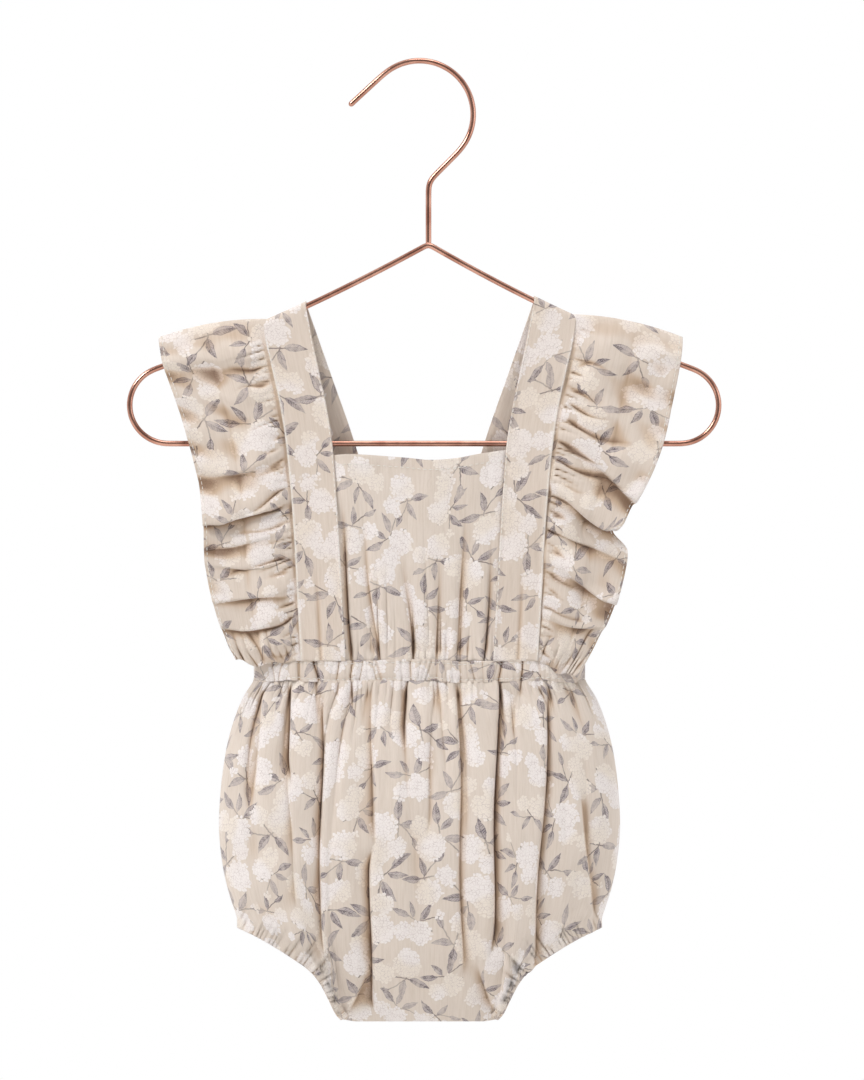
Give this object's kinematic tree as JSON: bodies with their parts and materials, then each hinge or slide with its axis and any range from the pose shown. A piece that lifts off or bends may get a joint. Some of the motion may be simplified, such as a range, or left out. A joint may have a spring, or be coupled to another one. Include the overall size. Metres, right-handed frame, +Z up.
{
  "type": "baby romper on a wire hanger",
  "caption": "Sleeveless baby bubble romper with a gathered bib, ruffled straps, an elastic waist and elastic leg openings, hanging on a bent copper wire hanger.",
  "frame": {"origin": "the inside of the hook's top, where the hanger rests on a rail", "axes": "+Z up, +X across the garment to the viewer's right, the garment's front faces -Y"},
  "size_m": [0.2977, 0.0571, 0.4822],
  "materials": {
    "cloth": "matt printed woven cotton",
    "wire": "polished copper plate"
  },
  "bodies": {
    "root": {"strap_left": "cloth", "strap_right": "cloth", "ruffle_left": "cloth", "ruffle_right": "cloth", "front_bib": "cloth", "waist_casing": "cloth", "bloomer_front": "cloth", "bloomer_back": "cloth", "leg_casing_left": "cloth", "leg_casing_right": "cloth", "hanger_hook": "wire", "hanger_bar": "wire", "hanger_arm_left": "wire", "hanger_arm_right": "wire", "hanger_end_left": "wire", "hanger_end_right": "wire"}
  },
  "joints": []
}
